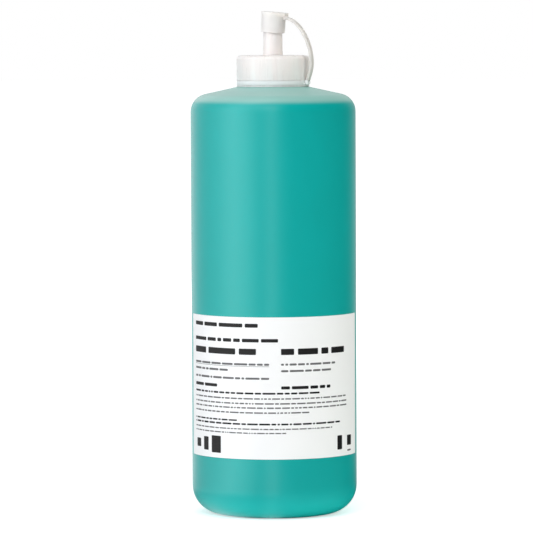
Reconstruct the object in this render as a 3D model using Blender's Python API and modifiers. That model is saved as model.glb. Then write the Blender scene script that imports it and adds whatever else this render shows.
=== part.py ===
"""Hand soap refill bottle: a blow-moulded round bottle with a screw closure, a spout and a tethered tip cap.

Metres, +Z up. The origin is the centre of the ring that the bottle stands on, and the label faces -Y.
"""

import math

import bmesh
import bpy

# Clearances between pieces that meet
GAP = 0.0003
LABEL_GAP = 0.0001
SEAL_GAP = 0.00025
THREAD_CLEARANCE = 0.00025
THREAD_SEAT = 0.0003
FOOT_GAP = 0.00025

# Bottle body, from the standing ring up to the neck
BODY_RADIUS = 0.0409
WALL = 0.0011
BASE_CORNER = 0.0142
BASE_PUSH_UP = 0.0035
STAND_WIDTH = 0.004
SHOULDER_START = 0.1995
SHOULDER_CORNER = 0.0089
SHOULDER_SLOPE = math.radians(12.5)

# Neck finish with one thread
NECK_RADIUS = 0.01485
NECK_BORE = 0.0130
NECK_HEIGHT = 0.0119
NECK_FILLET = 0.0010
NECK_INNER_FILLET = 0.0012
NECK_LIP = 0.0004
THREAD_DEPTH = 0.0012
THREAD_PITCH = 0.00423
THREAD_TURNS = 1.5
THREAD_ROOT_WIDTH = 0.0024
THREAD_CREST_WIDTH = 0.0010
THREAD_TOP_MARGIN = 0.0024
THREAD_FADE = math.radians(50)
THREAD_EMBED = 0.0002

# Soap inside, up to the level that the photo shows in the shoulder's corner
FILL_RISE = 0.0044

# Front label
LABEL_BOTTOM = 0.0305
LABEL_HEIGHT = 0.0696
LABEL_THICKNESS = 0.00015
LABEL_FACETS = 26

# Screw closure with its spout
CLOSURE_WALL = 0.0018
CLOSURE_TOP = 0.0014
CLOSURE_ROUND = 0.0020
SKIRT_DRAFT = 0.00025
CLOSURE_THREAD_TURNS = 1.25
CLOSURE_THREAD_LAG = math.radians(180)
BEAD_HEIGHT = 0.0006
BEAD_DEPTH = 0.0005
CORNER_CUT = 0.0005
SPOUT_RADIUS = 0.00487
SPOUT_TIP_RADIUS = 0.0046
SPOUT_BORE = 0.0034
SPOUT_LENGTH = 0.0166
SPOUT_FILLET = 0.0005
SPOUT_RIM = 0.0003
SPOUT_FUNNEL = 0.0008

# Foam washer under the closure's top
WASHER_THICKNESS = 0.0010
WASHER_HOLE_MARGIN = 0.0004

# Tether: a ring in the closure's groove and a strap to the tip cap
RING_SEAT = 0.0009
RING_THICKNESS = 0.0009
RING_HEIGHT = 0.0018
RING_SLIP = 0.00025
RING_CUT = 0.0002
ROOT_DEPTH = 0.0014
ROOT_WIDTH = 0.0038
ROOT_RISE = 0.0002
STRAP_AZIMUTH = math.radians(-24)
STRAP_THICKNESS = 0.0013
STRAP_WIDTH = 0.0032
STRAP_CUT = 0.0003
STRAP_BOW_REACH = 0.00275
STRAP_BOW_RISE = 0.0090
STRAP_START_HANDLE = 0.0060
STRAP_BOW_HANDLE_UP = 0.0100
STRAP_BOW_HANDLE_DOWN = 0.0035
STRAP_END_HANDLE = 0.0032
STRAP_END_LEAN = math.radians(17)

# Tip cap, which sits a little crooked on the spout
CAP_HEIGHT = 0.0101
CAP_PLATE = 0.0020
CAP_FLARE = 0.00035
CAP_WALL = 0.00075
CAP_LIP = 0.0005
CAP_CLEARANCE = 0.00025
CAP_ENGAGED = 0.0053
CAP_TILT = math.radians(4.3)
PLUG_REACH = 0.0020
PLUG_CLEARANCE = 0.0004
TAB_REACH = 0.0005
TAB_WIDTH = 0.0044
TAB_INSET = 0.0001
STUB_REACH = 0.0016

# Facets round each turned piece
BODY_FACETS = 60
CLOSURE_FACETS = 48
CAP_FACETS = 36
THREAD_STEPS_PER_TURN = 32
ARC_STEPS = 6
FINE_ARC_STEPS = 3
MERGE = 0.00001
SHARP_ANGLE = math.radians(35)


def clear_scene():
    for obj in list(bpy.data.objects):
        bpy.data.objects.remove(obj)


def make_collection(name):
    collection = bpy.data.collections.new(name)
    bpy.context.scene.collection.children.link(collection)
    return collection


def make_material(name, colour, roughness, metallic=0.0):
    material = bpy.data.materials.new(name)
    material.use_nodes = True
    shader = material.node_tree.nodes["Principled BSDF"]
    shader.inputs["Base Color"].default_value = (*colour, 1.0)
    shader.inputs["Roughness"].default_value = roughness
    shader.inputs["Metallic"].default_value = metallic
    material.diffuse_color = (*colour, 1.0)
    return material


def arc(centre_r, centre_z, radius, start, end, steps):
    """Points of an arc in the turning plane, between two angles in radians."""
    points = []
    for i in range(steps + 1):
        angle = start + (end - start) * i / steps
        points.append((centre_r + radius * math.cos(angle), centre_z + radius * math.sin(angle)))
    return points


def cone_height(radius, offset=0.0):
    """Height of the shoulder's cone at a radius, on the surface that lies offset inside the outer one."""
    corner = SHOULDER_CORNER - offset
    start_r = BODY_RADIUS - SHOULDER_CORNER + corner * math.sin(SHOULDER_SLOPE)
    start_z = SHOULDER_START + corner * math.cos(SHOULDER_SLOPE)
    return start_z + (start_r - radius) * math.tan(SHOULDER_SLOPE)


def body_outline(offset, neck_radius, fillet):
    """The body's surface from the middle of its base up to the neck, moved inwards by offset."""
    foot = BODY_RADIUS - BASE_CORNER - STAND_WIDTH
    points = []
    for i in range(ARC_STEPS):
        radius = foot * i / ARC_STEPS
        rise = BASE_PUSH_UP * 0.5 * (1 + math.cos(math.pi * radius / foot))
        points.append((radius, offset + rise))
    points.append((foot, offset))
    base_r = BODY_RADIUS - BASE_CORNER
    points += arc(base_r, BASE_CORNER, BASE_CORNER - offset, -math.pi / 2, 0.0, ARC_STEPS)
    shoulder_r = BODY_RADIUS - SHOULDER_CORNER
    shoulder_end = math.pi / 2 - SHOULDER_SLOPE
    points += arc(shoulder_r, SHOULDER_START, SHOULDER_CORNER - offset, 0.0, shoulder_end, ARC_STEPS)
    fillet_r = neck_radius + fillet
    fillet_z = cone_height(fillet_r, offset) + fillet / math.cos(SHOULDER_SLOPE)
    fillet_start = -math.pi / 2 - SHOULDER_SLOPE
    points += arc(fillet_r, fillet_z, fillet, fillet_start, -math.pi, FINE_ARC_STEPS)
    return points


def clip_at(points, level):
    """The part of a rising outline that lies under a level, ending on it."""
    kept = [points[0]]
    for low, high in zip(points, points[1:]):
        if high[1] >= level:
            share = (level - low[1]) / (high[1] - low[1])
            kept.append((low[0] + (high[0] - low[0]) * share, level))
            return kept
        kept.append(high)
    return kept


# Sizes that follow from the ones above
NECK_TOP = cone_height(NECK_RADIUS) + NECK_HEIGHT
THREAD_START = NECK_TOP - THREAD_TOP_MARGIN - THREAD_TURNS * THREAD_PITCH
FILL_LEVEL = SHOULDER_START + FILL_RISE
CLOSURE_BORE = NECK_RADIUS + THREAD_DEPTH + THREAD_CLEARANCE
CLOSURE_RADIUS = CLOSURE_BORE + CLOSURE_WALL
SKIRT_LOW_RADIUS = CLOSURE_RADIUS - SKIRT_DRAFT
GROOVE_RADIUS = SKIRT_LOW_RADIUS - RING_SEAT
BEAD_RADIUS = GROOVE_RADIUS + BEAD_DEPTH
CLOSURE_FOOT = cone_height(BEAD_RADIUS) + FOOT_GAP
RING_LOW = CLOSURE_FOOT + BEAD_HEIGHT + RING_SLIP
RING_TOP = RING_LOW + RING_HEIGHT
RING_INNER = GROOVE_RADIUS + RING_SLIP
RING_OUTER = RING_INNER + RING_THICKNESS
WASHER_LOW = NECK_TOP + SEAL_GAP
CLOSURE_CEILING = WASHER_LOW + WASHER_THICKNESS + SEAL_GAP
CLOSURE_CROWN = CLOSURE_CEILING + CLOSURE_TOP
SPOUT_TIP = CLOSURE_CROWN + SPOUT_LENGTH
CAP_FOOT = SPOUT_TIP - CAP_ENGAGED
CAP_SHIFT = CAP_ENGAGED * math.tan(CAP_TILT)
CAP_BORE = max(SPOUT_RADIUS, SPOUT_TIP_RADIUS + CAP_SHIFT) + CAP_CLEARANCE
CAP_RADIUS = CAP_BORE + CAP_WALL
CAP_CEILING = CAP_HEIGHT - CAP_PLATE
STUB_END = CAP_RADIUS + STUB_REACH
STUB_MIDDLE = CAP_CEILING - STRAP_THICKNESS / 2


def finish_mesh(obj, material):
    """Turns the object into its evaluated mesh, gives it a material and shades it smooth between sharp edges."""
    graph = bpy.context.evaluated_depsgraph_get()
    mesh = bpy.data.meshes.new_from_object(obj.evaluated_get(graph))
    obj.modifiers.clear()
    obj.data = mesh
    mesh.name = obj.name
    mesh.materials.clear()
    mesh.materials.append(material)
    mesh.shade_smooth()
    mesh.set_sharp_from_angle(angle=SHARP_ANGLE)


def revolve(name, points, facets, collection, closed=False, sweep=2 * math.pi):
    """Turns a profile about Z. The profile runs down its outer side."""
    mesh = bpy.data.meshes.new(name)
    edges = [(i, i + 1) for i in range(len(points) - 1)]
    if closed:
        edges.append((len(points) - 1, 0))
    mesh.from_pydata([(radius, 0.0, height) for radius, height in points], edges, [])
    obj = bpy.data.objects.new(name, mesh)
    collection.objects.link(obj)
    screw = obj.modifiers.new("turn", "SCREW")
    screw.axis = "Z"
    screw.angle = sweep
    screw.steps = facets
    screw.render_steps = facets
    screw.use_merge_vertices = sweep == 2 * math.pi
    screw.merge_threshold = MERGE
    return obj


def unite(obj, tool):
    """Joins a tool to an object with a Boolean, and keeps the tool as a hidden helper."""
    tool.hide_render = True
    tool.display_type = "WIRE"
    modifier = obj.modifiers.new("unite " + tool.name, "BOOLEAN")
    modifier.operation = "UNION"
    modifier.solver = "EXACT"
    modifier.object = tool


def helical_ridge(name, wall_radius, inward, low_z, start_angle, turns, collection):
    """A thread ridge that grows out of a round wall and runs back into it at both ends."""
    side = -1 if inward else 1
    steps = round(turns * THREAD_STEPS_PER_TURN)
    full = turns * 2 * math.pi
    mesh = bmesh.new()
    rings = []
    for i in range(steps + 1):
        turned = full * i / steps
        fade = min(1.0, turned / THREAD_FADE, (full - turned) / THREAD_FADE)
        root = wall_radius - side * THREAD_EMBED
        crest = wall_radius + side * (THREAD_DEPTH * fade - THREAD_EMBED / 2 * (1 - fade))
        middle = low_z + THREAD_PITCH * turned / (2 * math.pi)
        angle = start_angle + turned
        section = (
            (root, middle - THREAD_ROOT_WIDTH / 2),
            (crest, middle - THREAD_CREST_WIDTH / 2),
            (crest, middle + THREAD_CREST_WIDTH / 2),
            (root, middle + THREAD_ROOT_WIDTH / 2),
        )
        ring = [mesh.verts.new((r * math.cos(angle), r * math.sin(angle), z)) for r, z in section]
        rings.append(ring)
    for ring, following in zip(rings, rings[1:]):
        for i in range(4):
            j = (i + 1) % 4
            mesh.faces.new((ring[i], ring[j], following[j], following[i]))
    mesh.faces.new(rings[0])
    mesh.faces.new(rings[-1])
    bmesh.ops.recalc_face_normals(mesh, faces=mesh.faces)
    data = bpy.data.meshes.new(name)
    mesh.to_mesh(data)
    mesh.free()
    obj = bpy.data.objects.new(name, data)
    collection.objects.link(obj)
    return obj


def rounded_block(name, low, high, edge, collection):
    """A block between two corners, with bevelled edges."""
    mesh = bmesh.new()
    bmesh.ops.create_cube(mesh, size=1.0)
    for vert in mesh.verts:
        for i in range(3):
            vert.co[i] = low[i] + (high[i] - low[i]) * (vert.co[i] + 0.5)
    bmesh.ops.bevel(mesh, geom=mesh.edges[:], offset=edge, segments=2, affect="EDGES", profile=0.5)
    data = bpy.data.meshes.new(name)
    mesh.to_mesh(data)
    mesh.free()
    obj = bpy.data.objects.new(name, data)
    collection.objects.link(obj)
    return obj


def build_bottle(parts, helpers):
    """One blow-moulded shell with a pushed-up base, an open mouth and the neck's thread."""
    inner = body_outline(WALL, NECK_BORE, NECK_INNER_FILLET)
    outer = body_outline(0.0, NECK_RADIUS, NECK_FILLET)
    mouth = [
        (NECK_BORE, NECK_TOP - NECK_LIP),
        (NECK_BORE + NECK_LIP, NECK_TOP),
        (NECK_RADIUS - NECK_LIP, NECK_TOP),
        (NECK_RADIUS, NECK_TOP - NECK_LIP),
    ]
    bottle = revolve("bottle", inner + mouth + outer[::-1], BODY_FACETS, parts)
    thread = helical_ridge("neck_thread", NECK_RADIUS, False, THREAD_START, 0.0, THREAD_TURNS, helpers)
    unite(bottle, thread)
    finish_mesh(bottle, make_material("milky polyethylene", (0.62, 0.80, 0.76), 0.38))


def build_soap(parts):
    """The soap, a gap inside the bottle's wall, with a flat surface in the shoulder."""
    wetted = clip_at(body_outline(WALL + GAP, NECK_BORE, NECK_INNER_FILLET), FILL_LEVEL)
    soap = revolve("soap_fill", [(0.0, FILL_LEVEL)] + wetted[::-1], BODY_FACETS, parts)
    finish_mesh(soap, make_material("teal liquid soap", (0.01, 0.42, 0.37), 0.1))


def build_label(parts):
    """A thin printed film that follows the bottle's wall, centred on the front."""
    radius = BODY_RADIUS + LABEL_GAP
    sweep = LABEL_FACETS * 2 * math.pi / BODY_FACETS
    line = [(radius, LABEL_BOTTOM + LABEL_HEIGHT), (radius, LABEL_BOTTOM)]
    label = revolve("front_label", line, LABEL_FACETS, parts, sweep=sweep)
    label.rotation_euler.z = -math.pi / 2 - sweep / 2
    film = label.modifiers.new("film", "SOLIDIFY")
    film.thickness = LABEL_THICKNESS
    film.offset = 1.0
    film.use_even_offset = True
    finish_mesh(label, make_material("white label film", (0.9, 0.9, 0.9), 0.45))


def closure_outline():
    """Down the spout and the skirt, over the tether's groove, and up again inside."""
    groove_low = CLOSURE_FOOT + BEAD_HEIGHT
    groove_top = RING_TOP + RING_SLIP
    points = [
        (SPOUT_BORE + SPOUT_RIM, SPOUT_TIP),
        (SPOUT_TIP_RADIUS - SPOUT_RIM, SPOUT_TIP),
        (SPOUT_TIP_RADIUS, SPOUT_TIP - SPOUT_RIM),
    ]
    fillet_r = SPOUT_RADIUS + SPOUT_FILLET
    fillet_z = CLOSURE_CROWN + SPOUT_FILLET
    points += arc(fillet_r, fillet_z, SPOUT_FILLET, -math.pi, -math.pi / 2, FINE_ARC_STEPS)
    round_r = CLOSURE_RADIUS - CLOSURE_ROUND
    round_z = CLOSURE_CROWN - CLOSURE_ROUND
    points += arc(round_r, round_z, CLOSURE_ROUND, math.pi / 2, 0.0, ARC_STEPS)
    points += [
        (SKIRT_LOW_RADIUS, groove_top + RING_CUT),
        (SKIRT_LOW_RADIUS - RING_CUT, groove_top),
        (GROOVE_RADIUS, groove_top),
        (GROOVE_RADIUS, groove_low),
        (BEAD_RADIUS, groove_low - RING_CUT),
        (BEAD_RADIUS - RING_CUT, CLOSURE_FOOT),
        (CLOSURE_BORE + RING_CUT, CLOSURE_FOOT),
        (CLOSURE_BORE, CLOSURE_FOOT + RING_CUT),
        (CLOSURE_BORE, CLOSURE_CEILING - CORNER_CUT),
        (CLOSURE_BORE - CORNER_CUT, CLOSURE_CEILING),
        (SPOUT_BORE + SPOUT_FUNNEL, CLOSURE_CEILING),
        (SPOUT_BORE, CLOSURE_CEILING + SPOUT_FUNNEL),
        (SPOUT_BORE, SPOUT_TIP - SPOUT_RIM),
    ]
    return points


def closure_thread_drop():
    """How far the closure's ridge lies under the neck's, so that their flanks seat with a small gap."""
    slope = (THREAD_ROOT_WIDTH - THREAD_CREST_WIDTH) / THREAD_DEPTH
    widths = 2 * THREAD_ROOT_WIDTH - slope * (THREAD_DEPTH + THREAD_CLEARANCE)
    return widths / 2 + THREAD_SEAT


def build_closure(parts, helpers):
    """Screw cap and spout in one moulding, with the thread inside and a groove round its foot."""
    closure = revolve("closure", closure_outline(), CLOSURE_FACETS, parts, closed=True)
    lag_rise = THREAD_PITCH * CLOSURE_THREAD_LAG / (2 * math.pi)
    low_z = THREAD_START + lag_rise - closure_thread_drop()
    thread = helical_ridge(
        "closure_thread", CLOSURE_BORE, True, low_z, CLOSURE_THREAD_LAG, CLOSURE_THREAD_TURNS, helpers
    )
    unite(closure, thread)
    finish_mesh(closure, make_material("natural polypropylene", (0.86, 0.85, 0.83), 0.35))


def build_washer(parts):
    """Foam washer that seals the neck's rim against the closure."""
    hole = SPOUT_BORE + SPOUT_FUNNEL + WASHER_HOLE_MARGIN
    rim = CLOSURE_BORE - CORNER_CUT - GAP
    top = WASHER_LOW + WASHER_THICKNESS
    outline = [(hole, top), (rim, top), (rim, WASHER_LOW), (hole, WASHER_LOW)]
    washer = revolve("sealing_washer", outline, CLOSURE_FACETS, parts, closed=True)
    finish_mesh(washer, make_material("white foam", (0.88, 0.88, 0.86), 0.8))


def build_tether_ring(parts, helpers):
    """Ring that snaps into the closure's groove, with the root that the strap grows from."""
    outline = [
        (RING_INNER, RING_TOP),
        (RING_OUTER - RING_CUT, RING_TOP),
        (RING_OUTER, RING_TOP - RING_CUT),
        (RING_OUTER, RING_LOW + RING_CUT),
        (RING_OUTER - RING_CUT, RING_LOW),
        (RING_INNER, RING_LOW),
    ]
    ring = revolve("tether_ring", outline, CLOSURE_FACETS, parts, closed=True)
    ring.rotation_euler.z = STRAP_AZIMUTH
    inner = (RING_INNER + RING_OUTER) / 2
    low = (inner, -ROOT_WIDTH / 2, RING_LOW)
    high = (RING_OUTER + ROOT_DEPTH, ROOT_WIDTH / 2, RING_TOP + ROOT_RISE)
    root = rounded_block("strap_root", low, high, RING_CUT, helpers)
    root.parent = ring
    unite(ring, root)
    bpy.context.view_layer.update()
    finish_mesh(ring, make_material("natural polyethylene", (0.84, 0.83, 0.81), 0.4))


def cap_place(radius, height):
    """A point of the tilted tip cap, as distance from the axis and height in the strap's plane."""
    out = radius * math.cos(CAP_TILT) + height * math.sin(CAP_TILT)
    up = CAP_FOOT + height * math.cos(CAP_TILT) - radius * math.sin(CAP_TILT)
    return out, up


def strap_section(collection):
    """The strap's cross-section, a flat bar with cut corners."""
    wide, thin, cut = STRAP_WIDTH / 2, STRAP_THICKNESS / 2, STRAP_CUT
    corners = [
        (wide, thin - cut),
        (wide - cut, thin),
        (cut - wide, thin),
        (-wide, thin - cut),
        (-wide, cut - thin),
        (cut - wide, -thin),
        (wide - cut, -thin),
        (wide, cut - thin),
    ]
    curve = bpy.data.curves.new("strap_section", "CURVE")
    curve.dimensions = "2D"
    spline = curve.splines.new("POLY")
    spline.points.add(len(corners) - 1)
    for point, (x, y) in zip(spline.points, corners):
        point.co = (x, y, 0.0, 1.0)
    spline.use_cyclic_u = True
    obj = bpy.data.objects.new("strap_section", curve)
    obj.hide_render = True
    collection.objects.link(obj)
    return obj


def strap_stations():
    """Each point of the strap's path with its two handles, in the strap's plane."""
    start = cap_place(STUB_END + GAP, STUB_MIDDLE)
    ahead = (start[0] + STRAP_START_HANDLE * math.cos(CAP_TILT), start[1] - STRAP_START_HANDLE * math.sin(CAP_TILT))
    bow = (RING_OUTER + STRAP_BOW_REACH, RING_TOP + STRAP_BOW_RISE)
    above = (bow[0], bow[1] + STRAP_BOW_HANDLE_UP)
    below = (bow[0], bow[1] - STRAP_BOW_HANDLE_DOWN)
    end_dip = STRAP_THICKNESS / 2 * math.sin(STRAP_END_LEAN)
    end = (RING_OUTER + ROOT_DEPTH / 2, RING_TOP + ROOT_RISE + GAP + end_dip)
    back = (
        end[0] + STRAP_END_HANDLE * math.sin(STRAP_END_LEAN),
        end[1] + STRAP_END_HANDLE * math.cos(STRAP_END_LEAN),
    )
    return [(start, start, ahead), (bow, above, below), (end, back, end)]


def build_strap(parts, helpers):
    """Flat strap that bows out from the tip cap and down to the ring."""
    curve = bpy.data.curves.new("strap_path", "CURVE")
    curve.dimensions = "3D"
    curve.twist_mode = "Z_UP"
    curve.bevel_mode = "OBJECT"
    curve.bevel_object = strap_section(helpers)
    curve.use_fill_caps = True
    curve.resolution_u = 9
    spline = curve.splines.new("BEZIER")
    stations = strap_stations()
    spline.bezier_points.add(len(stations) - 1)
    for point, (place, left, right) in zip(spline.bezier_points, stations):
        point.handle_left_type = "FREE"
        point.handle_right_type = "FREE"
        point.co = (place[0], 0.0, place[1])
        point.handle_left = (left[0], 0.0, left[1])
        point.handle_right = (right[0], 0.0, right[1])
    path = bpy.data.objects.new("strap_path", curve)
    helpers.objects.link(path)
    bpy.context.view_layer.update()
    graph = bpy.context.evaluated_depsgraph_get()
    mesh = bpy.data.meshes.new_from_object(path.evaluated_get(graph))
    weld = bmesh.new()
    weld.from_mesh(mesh)
    bmesh.ops.remove_doubles(weld, verts=weld.verts, dist=MERGE)
    bmesh.ops.recalc_face_normals(weld, faces=weld.faces)
    weld.to_mesh(mesh)
    weld.free()
    bpy.data.objects.remove(path)
    strap = bpy.data.objects.new("strap", mesh)
    strap.rotation_euler.z = STRAP_AZIMUTH
    parts.objects.link(strap)
    bpy.context.view_layer.update()
    finish_mesh(strap, make_material("strap polyethylene", (0.80, 0.79, 0.77), 0.4))


def tip_cap_outline():
    """Over the top plate, down the skirt, up the bore and down the sealing plug."""
    top_r = CAP_RADIUS + CAP_FLARE
    plug_r = SPOUT_BORE - CAP_SHIFT - PLUG_CLEARANCE
    plug_low = CAP_ENGAGED - PLUG_REACH
    return [
        (0.0, CAP_HEIGHT),
        (top_r - SPOUT_RIM, CAP_HEIGHT),
        (top_r, CAP_HEIGHT - SPOUT_RIM),
        (CAP_RADIUS, CAP_CEILING),
        (CAP_RADIUS, CAP_LIP),
        (CAP_RADIUS - CAP_WALL / 2, 0.0),
        (CAP_BORE, 0.0),
        (CAP_BORE, CAP_CEILING),
        (plug_r, CAP_CEILING),
        (plug_r, plug_low + CAP_LIP),
        (plug_r - CAP_LIP, plug_low),
        (0.0, plug_low),
    ]


def build_tip_cap(parts, helpers):
    """Cap over the spout's end, with a tab and a stub on the side of the strap."""
    cap = revolve("tip_cap", tip_cap_outline(), CAP_FACETS, parts)
    top_r = CAP_RADIUS + CAP_FLARE
    tab_low = (CAP_BORE, -TAB_WIDTH / 2, CAP_CEILING + TAB_INSET)
    tab_high = (top_r + TAB_REACH, TAB_WIDTH / 2, CAP_HEIGHT - TAB_INSET)
    tab = rounded_block("cap_tab", tab_low, tab_high, STRAP_CUT, helpers)
    stub_low = (CAP_BORE + CAP_WALL / 2, -STRAP_WIDTH / 2, STUB_MIDDLE - STRAP_THICKNESS / 2)
    stub_high = (STUB_END, STRAP_WIDTH / 2, STUB_MIDDLE + STRAP_THICKNESS / 2 + 2 * TAB_INSET)
    stub = rounded_block("cap_stub", stub_low, stub_high, RING_CUT, helpers)
    cap.location.z = CAP_FOOT
    cap.rotation_euler = (0.0, CAP_TILT, STRAP_AZIMUTH)
    for tool in (tab, stub):
        tool.parent = cap
        unite(cap, tool)
    bpy.context.view_layer.update()
    finish_mesh(cap, make_material("cap polyethylene", (0.84, 0.82, 0.80), 0.4))


def build():
    clear_scene()
    parts = make_collection("hand_soap_refill_pack")
    helpers = make_collection("helpers")
    build_bottle(parts, helpers)
    build_soap(parts)
    build_label(parts)
    build_closure(parts, helpers)
    build_washer(parts)
    build_tether_ring(parts, helpers)
    build_strap(parts, helpers)
    build_tip_cap(parts, helpers)


build()
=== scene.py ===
# %% [markdown]
# A one-litre hand soap refill: a round squeeze bottle of milky plastic, teal soap inside,
# a screw closure with a spout, and a tip cap on a tether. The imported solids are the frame,
# and this file gives them their finish. Lengths are metres, and +Z is up.

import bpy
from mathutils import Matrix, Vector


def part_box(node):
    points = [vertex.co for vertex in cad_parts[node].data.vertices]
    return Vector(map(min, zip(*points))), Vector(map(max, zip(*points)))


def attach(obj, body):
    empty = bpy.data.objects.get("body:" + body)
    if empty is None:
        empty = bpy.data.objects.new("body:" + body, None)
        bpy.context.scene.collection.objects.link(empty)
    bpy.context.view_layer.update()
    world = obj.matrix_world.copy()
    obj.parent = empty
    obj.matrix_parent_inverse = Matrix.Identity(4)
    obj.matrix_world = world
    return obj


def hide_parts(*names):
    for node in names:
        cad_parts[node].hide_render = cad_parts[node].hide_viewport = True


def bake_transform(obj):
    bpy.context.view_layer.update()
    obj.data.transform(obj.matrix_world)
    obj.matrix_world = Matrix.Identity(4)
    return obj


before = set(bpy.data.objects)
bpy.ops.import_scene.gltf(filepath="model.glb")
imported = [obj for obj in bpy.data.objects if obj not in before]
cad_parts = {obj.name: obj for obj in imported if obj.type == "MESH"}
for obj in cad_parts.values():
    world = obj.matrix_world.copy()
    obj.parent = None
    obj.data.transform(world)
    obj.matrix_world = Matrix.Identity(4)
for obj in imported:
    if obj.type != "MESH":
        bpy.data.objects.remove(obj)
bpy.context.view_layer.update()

# %% Tools
import math
import random

import bmesh
import bpy
from mathutils import Matrix, Vector

MM = 0.001
print("one millimetre is", MM, "m")

# %% [markdown]
# Photo first. The camera has a long lens and stands 2.1 m away, a little above the bottle's
# middle. It could be orthographic, but the label's edges sag like those of a cylinder seen
# in perspective. It aims a few millimetres beside the axis, because the bottle isn't quite
# in the middle of the picture.

# %% Camera
SENSOR_WIDTH = 36.0
FAR_CLIP = 50.0
VIEW_DISTANCE = 2.136
VIEW_ANGLE = math.radians(7.09)
VIEW_ELEVATION = math.radians(3.5)
VIEW_ROLL = math.radians(-0.24)
AIM = Vector((-0.0036, 0.0, 0.1225))


def place_camera():
    data = bpy.data.cameras.new("camera")
    data.sensor_width = SENSOR_WIDTH
    data.lens = SENSOR_WIDTH / 2 / math.tan(VIEW_ANGLE / 2)
    data.clip_end = FAR_CLIP
    camera = bpy.data.objects.new("camera", data)
    bpy.context.scene.collection.objects.link(camera)
    away = Vector((0.0, -math.cos(VIEW_ELEVATION), math.sin(VIEW_ELEVATION)))
    camera.matrix_world = (
        Matrix.Translation(AIM + VIEW_DISTANCE * away)
        @ away.to_track_quat("Z", "Y").to_matrix().to_4x4()
        @ Matrix.Rotation(VIEW_ROLL, 4, "Z")
    )
    bpy.context.scene.camera = camera
    return camera


camera = place_camera()
print("lens", round(camera.data.lens, 1), "mm")

# %% [markdown]
# Colours are written as sRGB hex values. Blender's shaders count in linear light, so one
# function converts them.


# %% Colours
def linear(hex_colour):
    """An sRGB hex colour as linear RGBA, by the sRGB standard's curve."""
    channels = [int(hex_colour[i : i + 2], 16) / 255 for i in (0, 2, 4)]
    light = [c / 12.92 if c <= 0.04045 else ((c + 0.055) / 1.055) ** 2.4 for c in channels]
    return (*light, 1.0)


print("mid grey", [round(c, 3) for c in linear("808080")])

# %% [markdown]
# Every shader below is a small graph. One function adds a node, sets its own properties
# and fills its inputs, from plain values or from the output of another node.


# %% Nodes
def add(tree, kind, settings=None, **inputs):
    """Adds a node. An input goes by its name, with _ for a space, or by _ and its number.

    What fills it is a plain value or another node's output.
    """
    new = tree.nodes.new(kind)
    for name, value in (settings or {}).items():
        setattr(new, name, value)
    for name, value in inputs.items():
        socket = new.inputs[int(name[1:]) if name[1:].isdigit() else name.replace("_", " ")]
        if isinstance(value, bpy.types.NodeSocket):
            tree.links.new(value, socket)
        else:
            socket.default_value = value
    return new


def new_material(name):
    """An empty material, its tree, and the object coordinates that patterns are laid in."""
    material = bpy.data.materials.new(name)
    material.use_nodes = True
    tree = material.node_tree
    tree.nodes.clear()
    return material, tree, add(tree, "ShaderNodeTexCoord").outputs["Object"]


print("add and new_material are ready")

# %% [markdown]
# Light. A plain studio with a white sweep. What lights the bottle and what it mirrors are
# set apart. The lamps light it: softboxes on the left, in front, above and behind, and on
# the right a snoot that stops short of the closure, whose right side is darker in the
# photo. The mirror image is one ring of brightness round the bottle: a broad window on the
# left, a faint strip beside the camera, a dark right side and a pale back. World and floor
# share the ring, so no horizon shows in the gloss.

# %% World
ROOM_LEVEL = 0.22
MIRROR_FULL = 3.2
# Pairs of azimuth in degrees and brightness. A colour ramp holds 0 to 1, so it is given
# each brightness as a share of MIRROR_FULL.
MIRROR_RING = [
    (-180, 0.7), (-156, 1.3), (-118, 0.8), (-101, 0.95), (-81, 1.6),
    (-56, 3.1), (-33, 1.9), (-16, 0.6), (-3, 2.2), (10, 0.3),
    (25, 0.0), (120, 0.0), (136, 0.08), (149, 0.5), (180, 0.7),
]


def add_mirror_level(tree, direction):
    """What a mirror ray sees, by its azimuth from the camera's side, plus to the right."""
    parts = add(tree, "ShaderNodeSeparateXYZ", Vector=direction).outputs
    front = add(tree, "ShaderNodeMath", {"operation": "MULTIPLY"}, _0=parts["Y"], _1=-1.0).outputs[0]
    azimuth = add(tree, "ShaderNodeMath", {"operation": "ARCTAN2"}, _0=parts["X"], _1=front).outputs[0]
    share = add(tree, "ShaderNodeMapRange", _0=azimuth, _1=-math.pi, _2=math.pi).outputs[0]
    ring = add(tree, "ShaderNodeValToRGB", Fac=share)
    stops = ring.color_ramp.elements
    while len(stops) < len(MIRROR_RING):
        stops.new(0.5)
    for stop, (degrees, brightness) in zip(stops, MIRROR_RING):
        stop.position = (degrees + 180) / 360
        stop.color = (*[brightness / MIRROR_FULL] * 3, 1.0)
    level = add(tree, "ShaderNodeMath", {"operation": "MULTIPLY"}, _0=ring.outputs[0], _1=MIRROR_FULL)
    return level.outputs[0]


def add_mirror_ray(tree, path):
    """1 for rays that a shiny or clear surface sends out, and 0 for others."""
    return add(
        tree, "ShaderNodeMath", {"operation": "MAXIMUM"},
        _0=path["Is Glossy Ray"], _1=path["Is Transmission Ray"],
    ).outputs[0]


def light_the_room():
    world = bpy.data.worlds.new("studio")
    bpy.context.scene.world = world
    world.use_nodes = True
    tree = world.node_tree
    tree.nodes.clear()
    path = add(tree, "ShaderNodeLightPath").outputs
    mirrored = add_mirror_level(tree, add(tree, "ShaderNodeTexCoord").outputs["Generated"])
    base = add(tree, "ShaderNodeMix", _0=add_mirror_ray(tree, path), _2=ROOM_LEVEL, _3=mirrored)
    level = add(tree, "ShaderNodeMix", _0=path["Is Camera Ray"], _2=base.outputs[0], _3=1.0)
    light = add(tree, "ShaderNodeBackground", Color=linear("ffffff"), Strength=level.outputs[0])
    add(tree, "ShaderNodeOutputWorld", Surface=light.outputs[0])
    world.cycles.sampling_method = "NONE"
    return world


light_the_room()
print("room level", ROOM_LEVEL)

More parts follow.
